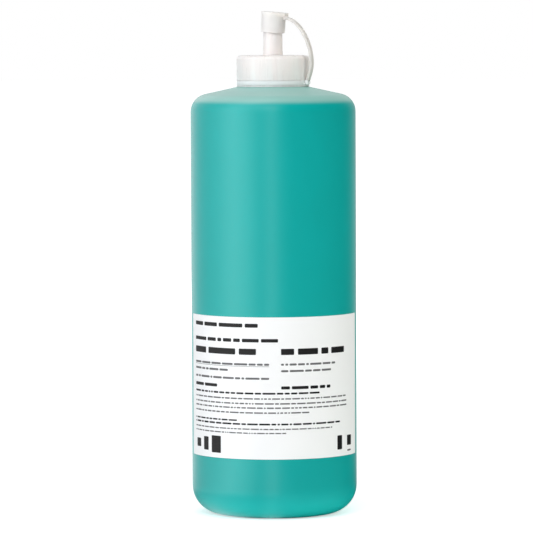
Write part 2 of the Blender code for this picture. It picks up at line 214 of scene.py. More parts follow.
# %% Softboxes
LAMP_DISTANCE = 1.6
SOFTBOX_AIM = 0.13
SNOOT_BLEND = 0.4
SNOOT_SOURCE = 0.2


def place_lamp(name, kind, azimuth, elevation, aim_height, colour, energy):
    """A lamp aimed at the axis. Azimuth is from the camera's side, plus to the right."""
    data = bpy.data.lights.new(name, kind)
    data.energy = energy
    data.color = linear(colour)[:3]
    lamp = bpy.data.objects.new(name, data)
    bpy.context.scene.collection.objects.link(lamp)
    turn, tilt = math.radians(azimuth), math.radians(elevation)
    level = Vector((math.sin(turn), -math.cos(turn), 0))
    away = math.cos(tilt) * level + Vector((0, 0, math.sin(tilt)))
    place = Vector((0, 0, aim_height)) + LAMP_DISTANCE * away
    lamp.matrix_world = Matrix.Translation(place) @ away.to_track_quat("Z", "Y").to_matrix().to_4x4()
    lamp.visible_camera = False
    lamp.visible_glossy = False
    return data


def softbox(name, azimuth, elevation, width, height, share, colour):
    """A soft lamp. It lights a white surface that faces it to a share of full white."""
    energy = share * (math.pi * LAMP_DISTANCE) ** 2
    data = place_lamp(name, "AREA", azimuth, elevation, SOFTBOX_AIM, colour, energy)
    data.shape = "RECTANGLE"
    data.size = width
    data.size_y = height


def snoot(name, azimuth, elevation, aim_height, half_angle, share, colour):
    """A lamp with a tube on it, so its pool of light ends softly at a height."""
    energy = share * (2 * math.pi * LAMP_DISTANCE) ** 2
    data = place_lamp(name, "SPOT", azimuth, elevation, aim_height, colour, energy)
    data.spot_size = 2 * math.radians(half_angle)
    data.spot_blend = SNOOT_BLEND
    data.shadow_soft_size = SNOOT_SOURCE


softbox("softbox_left", -54, 12, 1.4, 1.5, 0.50, "f2f7ff")
softbox("softbox_front", -6, 34, 0.9, 0.9, 0.43, "ffffff")
softbox("softbox_top", -20, 78, 1.2, 1.2, 0.17, "ffffff")
softbox("softbox_back", 152, 15, 1.4, 1.4, 0.45, "ffffff")
snoot("snoot_right", 82, 10, 0.075, 4.9, 0.84, "f9fff4")

# %% [markdown]
# Floor. The photo has a pure white sweep. A white floor alone would render light grey, so
# the floor adds a glow that only the camera sees, and the shadow still darkens it. Far from
# the bottle, where the lamps don't reach, the glow rises to keep the sweep white. What the
# bottle mirrors of the floor is the ring of brightness, shaded close to its foot.

# %% Floor finish
GLOW_NEAR, GLOW_FAR = 0.54, 0.95
GLOW_START, GLOW_END = 0.25, 1.5
MIRROR_SHADE = 0.3
SHADE_START, SHADE_END = 0.05, 0.12


def glowing_paper(tree, path, reach):
    """What the camera sees: lit paper, and a glow that grows with the distance from the axis."""
    paper = add(tree, "ShaderNodeBsdfDiffuse", Color=linear("f3f3f3"))
    glow = add(
        tree, "ShaderNodeMapRange", {"interpolation_type": "SMOOTHSTEP"},
        _0=reach, _1=GLOW_START, _2=GLOW_END, _3=GLOW_NEAR, _4=GLOW_FAR,
    )
    level = add(
        tree, "ShaderNodeMath", {"operation": "MULTIPLY"},
        _0=path["Is Camera Ray"], _1=glow.outputs[0],
    )
    light = add(tree, "ShaderNodeEmission", Color=linear("ffffff"), Strength=level.outputs[0])
    return add(tree, "ShaderNodeAddShader", _0=paper.outputs[0], _1=light.outputs[0])


def mirrored_sweep(tree, place, reach):
    """What the bottle mirrors: the ring of brightness, shaded close to the foot."""
    shade = add(
        tree, "ShaderNodeMapRange", {"interpolation_type": "SMOOTHSTEP"},
        _0=reach, _1=SHADE_START, _2=SHADE_END, _3=MIRROR_SHADE, _4=1.0,
    )
    level = add(
        tree, "ShaderNodeMath", {"operation": "MULTIPLY"},
        _0=shade.outputs[0], _1=add_mirror_level(tree, place),
    )
    return add(tree, "ShaderNodeEmission", Color=linear("ffffff"), Strength=level.outputs[0])


def studio_sweep():
    material, tree, place = new_material("white studio sweep")
    reach = add(tree, "ShaderNodeVectorMath", {"operation": "LENGTH"}, _0=place).outputs["Value"]
    path = add(tree, "ShaderNodeLightPath").outputs
    seen = glowing_paper(tree, path, reach)
    mirror = mirrored_sweep(tree, place, reach)
    both = add(
        tree, "ShaderNodeMixShader",
        _0=add_mirror_ray(tree, path), _1=seen.outputs[0], _2=mirror.outputs[0],
    )
    add(tree, "ShaderNodeOutputMaterial", Surface=both.outputs[0])
    material.cycles.emission_sampling = "NONE"
    return material


print("floor glow", GLOW_NEAR, "to", GLOW_FAR)

# %% Floor
FLOOR_HALF = 12.0
FLOOR_DROP = 0.05 * MM


def build_floor():
    mesh = bpy.data.meshes.new("floor")
    sides = ((-1, -1), (1, -1), (1, 1), (-1, 1))
    corners = [(FLOOR_HALF * x, FLOOR_HALF * y, -FLOOR_DROP) for x, y in sides]
    mesh.from_pydata(corners, [], [(0, 1, 2, 3)])
    mesh.materials.append(studio_sweep())
    floor = bpy.data.objects.new("floor", mesh)
    bpy.context.scene.collection.objects.link(floor)
    return floor


print(build_floor().name, 2 * FLOOR_HALF, "m wide")

# %% [markdown]
# Shapes. Every main piece is round, so it starts as a profile: corners with a radius each,
# as on a drawing. `fillet` rounds them, and `add_turned` spins the result about the axis. The
# CAD solids have few facets, and these have many, so that highlights run smoothly.


# %% Profiles
ARC_STEP = math.radians(7)
ON_AXIS = 1e-6
SHARP_ANGLE = math.radians(40)


def fillet(corners):
    """Rounds the corners (r, z, radius) of a profile."""
    points = []
    for i, (r, z, radius) in enumerate(corners):
        here = Vector((r, z))
        if radius == 0 or i in (0, len(corners) - 1):
            points.append(here)
            continue
        back = (Vector(corners[i - 1][:2]) - here).normalized()
        ahead = (Vector(corners[i + 1][:2]) - here).normalized()
        half = back.angle(ahead) / 2
        centre = here + (back + ahead).normalized() * radius / math.sin(half)
        start = here + back * radius / math.tan(half) - centre
        end = here + ahead * radius / math.tan(half) - centre
        turn = math.pi - 2 * half
        count = max(2, math.ceil(turn / ARC_STEP))
        for k in range(count + 1):
            share = k / count
            arm = start * math.sin((1 - share) * turn) + end * math.sin(share * turn)
            points.append(centre + arm / math.sin(turn))
    return [(p.x, p.y) for p in points]


def fillet_loop(corners):
    """Rounds every corner of a closed profile."""
    return fillet([corners[-1]] + corners + [corners[0]])[1:-1]


def add_turned(mesh, points, segments, closed=False):
    """Spins a profile about Z into a bmesh. The ends of a closed profile are joined."""
    rings = []
    for r, z in points:
        if r < ON_AXIS:
            rings.append([mesh.verts.new((0, 0, z))])
            continue
        angles = [2 * math.pi * i / segments for i in range(segments)]
        rings.append([mesh.verts.new((r * math.cos(a), r * math.sin(a), z)) for a in angles])
    pairs = list(zip(rings, rings[1:]))
    if closed:
        pairs.append((rings[-1], rings[0]))
    for upper, lower in pairs:
        for i in range(segments):
            j = (i + 1) % segments
            if len(upper) == 1:
                mesh.faces.new((upper[0], lower[i], lower[j]))
            elif len(lower) == 1:
                mesh.faces.new((upper[i], lower[0], upper[j]))
            else:
                mesh.faces.new((upper[i], lower[i], lower[j], upper[j]))


def as_piece(name, mesh, body, replaced):
    """Makes an object of a bmesh, shades it smooth, and puts it on its body in place of a node."""
    bmesh.ops.recalc_face_normals(mesh, faces=mesh.faces)
    data = bpy.data.meshes.new(name)
    mesh.to_mesh(data)
    mesh.free()
    data.shade_smooth()
    data.set_sharp_from_angle(angle=SHARP_ANGLE)
    obj = bpy.data.objects.new(name, data)
    bpy.context.scene.collection.objects.link(obj)
    if body:
        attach(obj, body)
    for node in replaced:
        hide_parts(node)
    print(name, len(data.polygons), "faces")
    return obj


# %% [markdown]
# One moulding is one closed skin. Light scatters inside these plastics, and walls left
# inside by overlapping shapes would show as dark marks, so a piece's shapes are fused.


# %% Fuse
def fused(shapes):
    """Joins closed shapes into one closed bmesh by exact union."""
    made = []
    for shape in shapes:
        bmesh.ops.recalc_face_normals(shape, faces=shape.faces)
        data = bpy.data.meshes.new("shape")
        shape.to_mesh(data)
        shape.free()
        made.append(bpy.data.objects.new("shape", data))
        bpy.context.scene.collection.objects.link(made[-1])
    for other in made[1:]:
        union = made[0].modifiers.new("union", "BOOLEAN")
        union.operation = "UNION"
        union.solver = "EXACT"
        union.object = other
    graph = bpy.context.evaluated_depsgraph_get()
    joined = bmesh.new()
    joined.from_mesh(made[0].evaluated_get(graph).to_mesh())
    for obj in made:
        # An object goes with its mesh.
        bpy.data.meshes.remove(obj.data)
    print("fused", len(shapes), "shapes,", sum(not e.is_manifold for e in joined.edges), "open edges")
    return joined


# %% [markdown]
# Threads. The neck and the closure hold a coarse single thread of 4.23 mm pitch, one and a
# half turns on the neck and one and a quarter in the closure. It is a trapezoid swept along
# a helix, and it fades into the wall at both ends, as the cutter leaves it in the mould. It
# isn't fused with the wall that it dips into, because the closure hides it in use.

# %% Thread
PITCH = 4.23 * MM
THREAD_DEPTH = 1.2 * MM
THREAD_FADE = math.radians(50)
THREAD_SINK = 0.02 * MM
THREAD_STEPS = 96
# The ridge's flank from root to crest: a share of the depth, and half the ridge's width
# there in millimetres. It starts a little inside the wall.
THREAD_FLANK = [(-0.3, 1.3), (0, 1.2), (0.45, 0.93), (0.9, 0.62), (1, 0.45)]


def add_swept(mesh, rings):
    """Joins rings of vertices, one after another, into a skin with closed ends."""
    for ring, following in zip(rings, rings[1:]):
        for i in range(len(ring)):
            j = (i + 1) % len(ring)
            mesh.faces.new((ring[i], ring[j], following[j], following[i]))
    mesh.faces.new(rings[0])
    mesh.faces.new(rings[-1])


def add_thread(mesh, wall, inward, low, start, turns):
    """Adds a ridge that grows out of a round wall to a bmesh."""
    side = -1 if inward else 1
    steps = round(turns * THREAD_STEPS)
    full = turns * 2 * math.pi
    section = [(depth, -width) for depth, width in THREAD_FLANK] + THREAD_FLANK[::-1]
    rings = []
    for i in range(steps + 1):
        turned = full * i / steps
        fade = math.sin(math.pi / 2 * min(1.0, turned / THREAD_FADE, (full - turned) / THREAD_FADE))
        angle = start + turned
        ring = []
        for depth, width in section:
            out = THREAD_DEPTH * depth * (fade if depth > 0 else 1)
            r = wall + side * (out - THREAD_SINK * (1 - fade))
            z = low + PITCH * turned / (2 * math.pi) + width * MM
            ring.append(mesh.verts.new((r * math.cos(angle), r * math.sin(angle), z)))
        rings.append(ring)
    add_swept(mesh, rings)


print("pitch", PITCH / MM, "mm")

# %% [markdown]
# Bottle. It is blow-moulded in one piece: a tube of molten polyethylene is blown out
# against a cold mould, so it has one even wall, big soft corners and a pushed-up base that
# keeps it from rocking. One profile runs up inside and down outside.

# %% Bottle shape
BODY_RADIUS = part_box("bottle")[1][0]
NECK_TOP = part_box("bottle")[1][2]
WALL = 1.1 * MM
BASE_CORNER = 14.2 * MM
BASE_PUSH_UP = 3.5 * MM
STAND_WIDTH = 4 * MM
SHOULDER_START = 199.5 * MM
SHOULDER_CORNER = 8.9 * MM
SHOULDER_SLOPE = math.radians(12.5)
NECK_RADIUS = 14.85 * MM
NECK_BORE = 13.0 * MM
NECK_FILLET_OUTSIDE = 1.0 * MM
NECK_FILLET_INSIDE = 1.2 * MM
MOUTH_EDGE = 0.4 * MM
NECK_TURNS = 1.5
NECK_THREAD_LOW = NECK_TOP - 2.4 * MM - NECK_TURNS * PITCH
BASE_RINGS = 12
BOTTLE_FACETS = 180


def cone_height(radius):
    """Height of the shoulder's cone at a radius, on the outside."""
    start_r = BODY_RADIUS - SHOULDER_CORNER * (1 - math.sin(SHOULDER_SLOPE))
    start_z = SHOULDER_START + SHOULDER_CORNER * math.cos(SHOULDER_SLOPE)
    return start_z + (start_r - radius) * math.tan(SHOULDER_SLOPE)


def body_profile(offset, neck_radius, fillet_radius):
    """The body from the middle of its base up to the neck's top, moved inwards by offset."""
    foot = BODY_RADIUS - BASE_CORNER - STAND_WIDTH
    points = []
    for i in range(BASE_RINGS):
        radius = foot * i / BASE_RINGS
        dome = BASE_PUSH_UP / 2 * (1 + math.cos(math.pi * radius / foot))
        points.append((radius, offset + dome, 0))
    wall = BODY_RADIUS - offset
    drop = offset / math.cos(SHOULDER_SLOPE)
    points.append((foot, offset, 0))
    points.append((wall, offset, BASE_CORNER - offset))
    points.append((wall, cone_height(wall) - drop, SHOULDER_CORNER - offset))
    points.append((neck_radius, cone_height(neck_radius) - drop, fillet_radius))
    return points


def build_bottle():
    mesh = bmesh.new()
    inner = body_profile(WALL, NECK_BORE, NECK_FILLET_INSIDE)
    outer = body_profile(0.0, NECK_RADIUS, NECK_FILLET_OUTSIDE)
    mouth = [(NECK_BORE, NECK_TOP, MOUTH_EDGE), (NECK_RADIUS, NECK_TOP, MOUTH_EDGE)]
    add_turned(mesh, fillet(inner + mouth + outer[::-1]), BOTTLE_FACETS)
    add_thread(mesh, NECK_RADIUS, False, NECK_THREAD_LOW, 0.0, NECK_TURNS)
    return as_piece("milky_bottle", mesh, "bottle", ["bottle"])


bottle = build_bottle()
FILL_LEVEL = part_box("soap_fill")[1][2]
print("neck top", round(NECK_TOP, 5), "soap level", round(FILL_LEVEL, 5))

# %% [markdown]
# Closure. One injection moulding of natural polypropylene: a skirt with the thread inside,
# a flat top with rounded shoulders, and the spout. A shallow groove round the foot carries
# the tether's ring, over a small bead that keeps it on.

# %% Closure shape
CLOSURE_LOW, CLOSURE_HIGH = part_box("closure")[0][2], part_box("closure")[1][2]
CLOSURE_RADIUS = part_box("closure")[1][0]
CLOSURE_CROWN = CLOSURE_HIGH - 16.6 * MM
CLOSURE_CEILING = CLOSURE_CROWN - 1.4 * MM
CLOSURE_BORE = CLOSURE_RADIUS - 1.8 * MM
SPOUT_BORE = 3.4 * MM
SPOUT_TIP_RADIUS = 4.6 * MM
SPOUT_FOOT_RADIUS = 4.87 * MM
SKIRT_FOOT_RADIUS = CLOSURE_RADIUS - 0.25 * MM
GROOVE_RADIUS = SKIRT_FOOT_RADIUS - 0.9 * MM
GROOVE_SLIP = 0.25 * MM
GROOVE_EDGE = 0.1 * MM
BEAD_RADIUS = GROOVE_RADIUS + 1.05 * MM
BEAD_LOW = CLOSURE_LOW - 0.28 * MM
RING_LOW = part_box("tether_ring")[0][2]
RING_TOP = RING_LOW + 1.8 * MM
CLOSURE_FACETS = 144
CLOSURE_TURNS = 1.25
# The closure's ridge starts half a turn on from the start of the neck's, and this far under
# the neck's ridge there, so that a small gap is left between their flanks.
THREAD_HANG = 1.854 * MM


def build_closure():
    groove_low = RING_LOW - GROOVE_SLIP
    groove_top = RING_TOP + GROOVE_SLIP
    corners = [
        (SPOUT_BORE, CLOSURE_HIGH, 0.3 * MM),
        (SPOUT_TIP_RADIUS, CLOSURE_HIGH, 0.3 * MM),
        (SPOUT_FOOT_RADIUS, CLOSURE_CROWN, 0.5 * MM),
        (CLOSURE_RADIUS, CLOSURE_CROWN, 2.0 * MM),
        (SKIRT_FOOT_RADIUS, groove_top, GROOVE_EDGE),
        (GROOVE_RADIUS, groove_top, GROOVE_EDGE),
        (GROOVE_RADIUS, groove_low, GROOVE_EDGE),
        (BEAD_RADIUS, groove_low, GROOVE_EDGE),
        (BEAD_RADIUS, BEAD_LOW, 0.08 * MM),
        (CLOSURE_BORE, CLOSURE_LOW, 0.2 * MM),
        (CLOSURE_BORE, CLOSURE_CEILING, 0.5 * MM),
        (SPOUT_BORE, CLOSURE_CEILING, 0.8 * MM),
    ]
    mesh = bmesh.new()
    add_turned(mesh, fillet_loop(corners), CLOSURE_FACETS, closed=True)
    low = NECK_THREAD_LOW + PITCH / 2 - THREAD_HANG
    add_thread(mesh, CLOSURE_BORE, True, low, math.pi, CLOSURE_TURNS)
    return as_piece("screw_closure", mesh, "closure", ["closure"])


closure = build_closure()
print("closure", round((CLOSURE_HIGH - CLOSURE_LOW) / MM, 1), "mm high")

# %% [markdown]
# Tether. Ring, strap and tip cap are one soft moulding, and three pieces here, because the
# tip cap moves. The ring snaps into the closure's groove, and a block on it is the root of
# the strap. It fills the groove's height nearly to its edges, so only a thin line shows.

# %% Ring shape
STRAP_AZIMUTH = math.radians(-24)
RING_INNER = GROOVE_RADIUS + 0.25 * MM
RING_OUTER = RING_INNER + 0.9 * MM
RING_SPREAD = 0.19 * MM
ROOT_INNER = RING_INNER + 0.45 * MM
ROOT_OUTER = RING_OUTER + 1.4 * MM
ROOT_TOP = RING_TOP + 0.2 * MM
ROOT_HALF_WIDTH = 1.9 * MM
BLOCK_EDGE_STEPS = 4
strap_plane = Matrix.Rotation(STRAP_AZIMUTH, 4, "Z")


def add_block(mesh, low, high, edge, place):
    """Adds a block with rounded edges, in its own place, to a bmesh."""
    made = bmesh.ops.create_cube(mesh, size=1.0)["verts"]
    for vert in made:
        vert.co = Vector([low[i] + (high[i] - low[i]) * (vert.co[i] + 0.5) for i in range(3)])
    edges = list({e for v in made for e in v.link_edges})
    bevelled = bmesh.ops.bevel(
        mesh, geom=edges, offset=edge, segments=BLOCK_EDGE_STEPS, affect="EDGES", profile=0.5,
    )
    verts = {v for f in bevelled["faces"] for v in f.verts}
    bmesh.ops.transform(mesh, matrix=place, verts=list(verts))


def build_ring():
    low, top = RING_LOW - RING_SPREAD, RING_TOP + RING_SPREAD
    corners = [
        (RING_INNER, top, 0.05 * MM),
        (RING_OUTER, top, 0.1 * MM),
        (RING_OUTER, low, 0.1 * MM),
        (RING_INNER, low, 0.05 * MM),
    ]
    band, root = bmesh.new(), bmesh.new()
    add_turned(band, fillet_loop(corners), CLOSURE_FACETS, closed=True)
    root_low = (ROOT_INNER, -ROOT_HALF_WIDTH, RING_LOW)
    root_high = (ROOT_OUTER, ROOT_HALF_WIDTH, ROOT_TOP)
    add_block(root, root_low, root_high, 0.3 * MM, strap_plane)
    return as_piece("tether_band", fused([band, root]), "tether", ["tether_ring"])


ring = build_ring()
print("ring", round(2 * RING_OUTER / MM, 2), "mm across")

# %% [markdown]
# The tip cap is a thimble with a plug inside that seals the spout's bore. It sits a little
# askew, because the strap pulls on it. A plate with a wider rim closes it, with a tab to
# lift it by, and a stub on its wall is where the strap grows from.

# %% Tip cap sizes
STRAP_THICKNESS = 1.3 * MM
STRAP_WIDTH = 3.2 * MM
CAP_TILT = math.radians(4.3)
CAP_ENGAGED = 5.3 * MM
CAP_FOOT = CLOSURE_HIGH - CAP_ENGAGED
CAP_HEIGHT = 10.1 * MM
CAP_CEILING = CAP_HEIGHT - 2.0 * MM
CAP_SHIFT = CAP_ENGAGED * math.tan(CAP_TILT)
CAP_BORE = max(SPOUT_FOOT_RADIUS, SPOUT_TIP_RADIUS + CAP_SHIFT) + 0.25 * MM
CAP_RADIUS = CAP_BORE + 0.75 * MM
PLUG_RADIUS = SPOUT_BORE - CAP_SHIFT - 0.4 * MM
PLUG_LOW = CAP_ENGAGED - 2.0 * MM
PLATE_RADIUS = CAP_RADIUS + 0.35 * MM
TAB_END = PLATE_RADIUS + 0.5 * MM
TAB_HALF_WIDTH = 2.2 * MM
TAB_LOW = CAP_CEILING + 0.05 * MM
# The tab stays this far inside the plate, because shared faces upset a union.
TAB_SINK = 0.02 * MM
STUB_INNER = CAP_BORE + 0.37 * MM
STUB_OUTER = CAP_RADIUS + 1.6 * MM
STUB_TOP = CAP_CEILING + 0.2 * MM
CAP_FACETS = 96
cap_tilt = Matrix.Rotation(CAP_TILT, 4, "Y")
cap_frame = Matrix.Translation((0, 0, CAP_FOOT)) @ strap_plane @ cap_tilt
print("tip cap", round(2 * CAP_RADIUS / MM, 1), "mm across")


# %% Tip cap shape
def add_tab(mesh, place):
    """The lifting tab: the plate's round side runs on straight to two corners, with no notch."""
    corner_reach = math.hypot(TAB_END, TAB_HALF_WIDTH)
    corner_turn = math.atan2(TAB_HALF_WIDTH, TAB_END)
    loops = []
    for radius, up in ((CAP_RADIUS, TAB_LOW), (PLATE_RADIUS - TAB_SINK, CAP_HEIGHT - TAB_SINK)):
        turn = corner_turn + math.acos(radius / corner_reach)
        touch_x, touch_y = radius * math.cos(turn), radius * math.sin(turn)
        near_side = [(touch_x, -touch_y), (TAB_END, -TAB_HALF_WIDTH)]
        far_side = [(TAB_END, TAB_HALF_WIDTH), (touch_x, touch_y)]
        loops.append([mesh.verts.new(place @ Vector((x, y, up))) for x, y in near_side + far_side])
    add_swept(mesh, loops)


def build_tip_cap():
    corners = [
        (0.0, CAP_HEIGHT, 0),
        (PLATE_RADIUS, CAP_HEIGHT, 0.2 * MM),
        (CAP_RADIUS, CAP_CEILING, 0.6 * MM),
        (CAP_RADIUS, 0.0, 0.35 * MM),
        (CAP_BORE, 0.0, 0.15 * MM),
        (CAP_BORE, CAP_CEILING, 0.2 * MM),
        (PLUG_RADIUS, CAP_CEILING, 0.2 * MM),
        (PLUG_RADIUS, PLUG_LOW, 0.5 * MM),
        (0.0, PLUG_LOW, 0),
    ]
    cup, tab, stub = bmesh.new(), bmesh.new(), bmesh.new()
    add_turned(cup, fillet(corners), CAP_FACETS)
    bmesh.ops.transform(cup, matrix=cap_frame, verts=cup.verts)
    add_tab(tab, cap_frame)
    stub_low = (STUB_INNER, -STRAP_WIDTH / 2, CAP_CEILING - STRAP_THICKNESS)
    stub_high = (STUB_OUTER, STRAP_WIDTH / 2, STUB_TOP)
    add_block(stub, stub_low, stub_high, 0.2 * MM, cap_frame)
    return as_piece("spout_tip_cap", fused([cup, tab, stub]), "tip_cap", ["tip_cap"])


tip_cap = build_tip_cap()

# %% [markdown]
# The strap is a flat bar that bows out and up to the tip cap. It could be a curve with a
# bevel. Here a section is swept along points instead, so that it is a mesh at once. Its
# path is two Bezier spans, and each end runs on into the block that it grows from.

# %% Strap path
STRAP_RUN_IN = 0.8 * MM
STRAP_LEAVE = 6.0 * MM
STRAP_ARRIVE = 3.9 * MM
STRAP_LEAN = math.radians(17)
# The bow is where the strap runs furthest out, and the landing is where it meets the root.
# Both are measured from the ring's side and top.
BOW_OUT, BOW_UP = 2.75 * MM, 9.0 * MM
BOW_REACH_UP, BOW_REACH_DOWN = 10.0 * MM, 3.5 * MM
LANDING_OUT, LANDING_DOWN = 0.7 * MM, 0.2 * MM
UPPER_STEPS, LOWER_STEPS = 40, 24


def cap_point(out, up):
    """A point of the tilted tip cap, as distance out and height in the strap's own plane."""
    point = cap_tilt @ Vector((out, 0, up))
    return Vector((point.x, CAP_FOOT + point.z))


def bezier(a, b, c, d, count):
    """Points on a cubic Bezier curve, from a up to just before d."""
    return [
        a * (1 - t) ** 3 + b * 3 * t * (1 - t) ** 2 + c * 3 * t * t * (1 - t) + d * t**3
        for t in [i / count for i in range(count)]
    ]


def strap_line():
    """The strap's middle line from the tip cap to the ring, as distance out and height."""
    start = cap_point(STUB_OUTER - STRAP_RUN_IN, CAP_CEILING - STRAP_THICKNESS / 2)
    along_cap = Vector((math.cos(CAP_TILT), -math.sin(CAP_TILT)))
    leave = start + along_cap * (STRAP_LEAVE + STRAP_RUN_IN)
    bow = Vector((RING_OUTER + BOW_OUT, RING_TOP + BOW_UP))
    end = Vector((RING_OUTER + LANDING_OUT, RING_TOP - LANDING_DOWN))
    arrive = end + Vector((math.sin(STRAP_LEAN), math.cos(STRAP_LEAN))) * STRAP_ARRIVE
    upper = bezier(start, leave, bow + Vector((0, BOW_REACH_UP)), bow, UPPER_STEPS)
    lower = bezier(bow, bow - Vector((0, BOW_REACH_DOWN)), arrive, end, LOWER_STEPS)
    return upper + lower + [end]


strap_path = strap_line()
print("strap path", len(strap_path), "points")

# %% Strap shape
STRAP_EDGE = 0.3 * MM
QUARTER_STEPS = 4


def strap_section():
    """The bar's section: a quarter circle at each of its four corners."""
    wide, thin = STRAP_WIDTH / 2 - STRAP_EDGE, STRAP_THICKNESS / 2 - STRAP_EDGE
    section = []
    for quarter, (side, face) in enumerate(((1, 1), (-1, 1), (-1, -1), (1, -1))):
        for k in range(QUARTER_STEPS + 1):
            angle = math.pi / 2 * (quarter + k / QUARTER_STEPS)
            across = side * wide + STRAP_EDGE * math.cos(angle)
            section.append((across, face * thin + STRAP_EDGE * math.sin(angle)))
    return section


def build_strap(line):
    """Sweeps the section along the line. The strap bends between tether and tip cap."""
    section = strap_section()
    mesh = bmesh.new()
    rings = []
    for i, point in enumerate(line):
        ahead = (line[min(i + 1, len(line) - 1)] - line[max(i - 1, 0)]).normalized()
        up = Vector((-ahead.y, ahead.x))
        ring = []
        for x, y in section:
            local = Vector((point.x + up.x * y, x, point.y + up.y * y))
            ring.append(mesh.verts.new(strap_plane @ local))
        rings.append(ring)
    add_swept(mesh, rings)
    strap = as_piece("tether_strap", mesh, None, ["strap"])
    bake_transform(strap)
    return strap


strap = build_strap(strap_path)

# %% [markdown]
# Label. A thin white film wraps 152 degrees of the front. Its print is generic: bars stand
# for lines of words, and plain blocks for symbols. They could be painted by a shader, but
# small marks stay sharper as thin shapes that lie on the film.

# %% Label film
LABEL_LOW, LABEL_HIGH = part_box("front_label")[0][2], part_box("front_label")[1][2]
LABEL_SWEEP = math.radians(152)
LABEL_INNER = BODY_RADIUS + 0.1 * MM
LABEL_OUTER = LABEL_INNER + 0.15 * MM
LABEL_COLUMNS = 104
INK_RADIUS = LABEL_OUTER + 0.02 * MM


def on_label(across, up, radius):
    """A point on the wrapped label: angle from the middle in radians, and height."""
    return Vector((radius * math.sin(across), -radius * math.cos(across), up))


def build_label():
    mesh = bmesh.new()
    section = [
        (LABEL_INNER, LABEL_LOW),
        (LABEL_OUTER, LABEL_LOW),
        (LABEL_OUTER, LABEL_HIGH),
        (LABEL_INNER, LABEL_HIGH),
    ]
    rings = []
    for i in range(LABEL_COLUMNS + 1):
        across = LABEL_SWEEP * (i / LABEL_COLUMNS - 0.5)
        rings.append([mesh.verts.new(on_label(across, up, radius)) for radius, up in section])
    add_swept(mesh, rings)
    return as_piece("wrap_label", mesh, "bottle", ["front_label"])


label = build_label()
print("label", round((LABEL_HIGH - LABEL_LOW) / MM, 1), "mm high")

# %% [markdown]
# Print. Each row is a depth under the label's top and a bar height in millimetres, and
# where it starts and ends round the bottle in degrees from the front. Rows break into
# word-like bars. A seeded generator picks the lengths, so each run gives the same label.

# %% Print rows
LEFT, MIDDLE = -69.4, 4.6
HEAVY_ROWS = [
    (4.1, 1.9, LEFT, -11.2),
    (11.4, 1.7, LEFT, 2.6),
    (16.9, 3.0, LEFT, -12.5),
    (16.9, 3.0, MIDDLE, 56.4),
    (33.9, 1.5, LEFT, -43.0),
    (34.5, 1.5, MIDDLE, 41.8),
    (37.3, 0.9, LEFT, 32.6),
    (50.6, 0.75, LEFT, -26.5),
    (52.4, 0.85, LEFT, 51.5),
]
FINE_ROWS = [
    (23.1, 1.0, LEFT, -3.5),
    (26.1, 1.0, LEFT, -33.5),
    (30.0, 1.0, LEFT, -3.5),
    (23.1, 1.0, MIDDLE, 46.5),
    (26.3, 1.0, MIDDLE, 42.5),
    (39.9, 0.7, LEFT, 58.5),
    (42.3, 0.7, LEFT, 59.5),
    (44.4, 0.7, LEFT, 59.5),
    (46.8, 0.7, LEFT, 24.5),
    (54.8, 0.6, LEFT, 43.5),
    (56.8, 0.6, LEFT, 8.0),
]
# These are single bars: start and end in degrees, then their middle's height over the
# label's foot and their own height in millimetres.
ICON_BLOCKS = [
    (-67.5, -61.5, 6.6, 4.2),
    (-57.5, -52.0, 6.6, 6.6),
    (-48.6, -39.8, 6.6, 8.4),
    (48.6, 53.8, 6.8, 7.0),
    (60.2, 66.4, 7.4, 5.0),
]
CAPTION = (60.6, 65.8, 2.4, 0.8)
UNDERLINE = (LEFT, -3.5, (LABEL_HIGH - LABEL_LOW) / MM - 24.1, 0.2)
print(len(HEAVY_ROWS) + len(FINE_ROWS), "rows")


# %% Print shapes
BAR_ROUND = 0.45 * MM
BAR_STEP = math.radians(2)
BAR_END_STEPS = 4
HAIRLINE = 0.01 * MM
LETTER_SHARE = 0.72
WORD_GAP = 0.9
SHORTEST_WORD, LONGEST_WORD = 2, 10
SHORTEST_REST = 3


def add_bar(mesh, start, end, middle, height):
    """A bar with rounded ends on the label, between two angles in radians."""
    end_round = min(height / 2, BAR_ROUND) / LABEL_OUTER
    quarter = [math.pi / 2 * k / BAR_END_STEPS for k in range(BAR_END_STEPS + 1)]
    steps = [end_round * (1 - math.cos(angle)) for angle in quarter]
    stops = [start + s for s in steps]
    inner = end - start - 2 * end_round
    count = max(1, math.ceil(inner / BAR_STEP))
    stops += [start + end_round + inner * k / count for k in range(1, count)]
    stops += [end - s for s in steps[::-1]]
    half_flat = height / 2 - end_round * LABEL_OUTER
    columns = []
    for stop in stops:
        near = min(stop - start, end - stop)
        bulge = 1.0 if near >= end_round else math.sqrt(max(0.0, 1 - (1 - near / end_round) ** 2))
        half = max(half_flat + end_round * LABEL_OUTER * bulge, HAIRLINE)
        ends = (middle - half, middle + half)
        columns.append([mesh.verts.new(on_label(stop, up, INK_RADIUS)) for up in ends])
    for a, b in zip(columns, columns[1:]):
        mesh.faces.new((a[0], b[0], b[1], a[1]))


def add_words(mesh, rows, seed):
    """Breaks each row into bars. A rest that is too short joins the bar before it."""
    pick = random.Random(seed)
    for depth, height, first, last in rows:
        middle = LABEL_HIGH - depth * MM
        letter = LETTER_SHARE * height * MM / LABEL_OUTER
        place, stop = math.radians(first), math.radians(last)
        while place < stop - SHORTEST_WORD * letter:
            width = min(pick.randint(SHORTEST_WORD, LONGEST_WORD) * letter, stop - place)
            if stop - place - width < SHORTEST_REST * letter:
                width = stop - place
            add_bar(mesh, place, place + width, middle, height * MM)
            place += width + WORD_GAP * letter


def add_blocks(mesh, blocks):
    """Adds single bars, placed by their height over the label's foot."""
    for first, last, up, height in blocks:
        add_bar(mesh, math.radians(first), math.radians(last), LABEL_LOW + up * MM, height * MM)


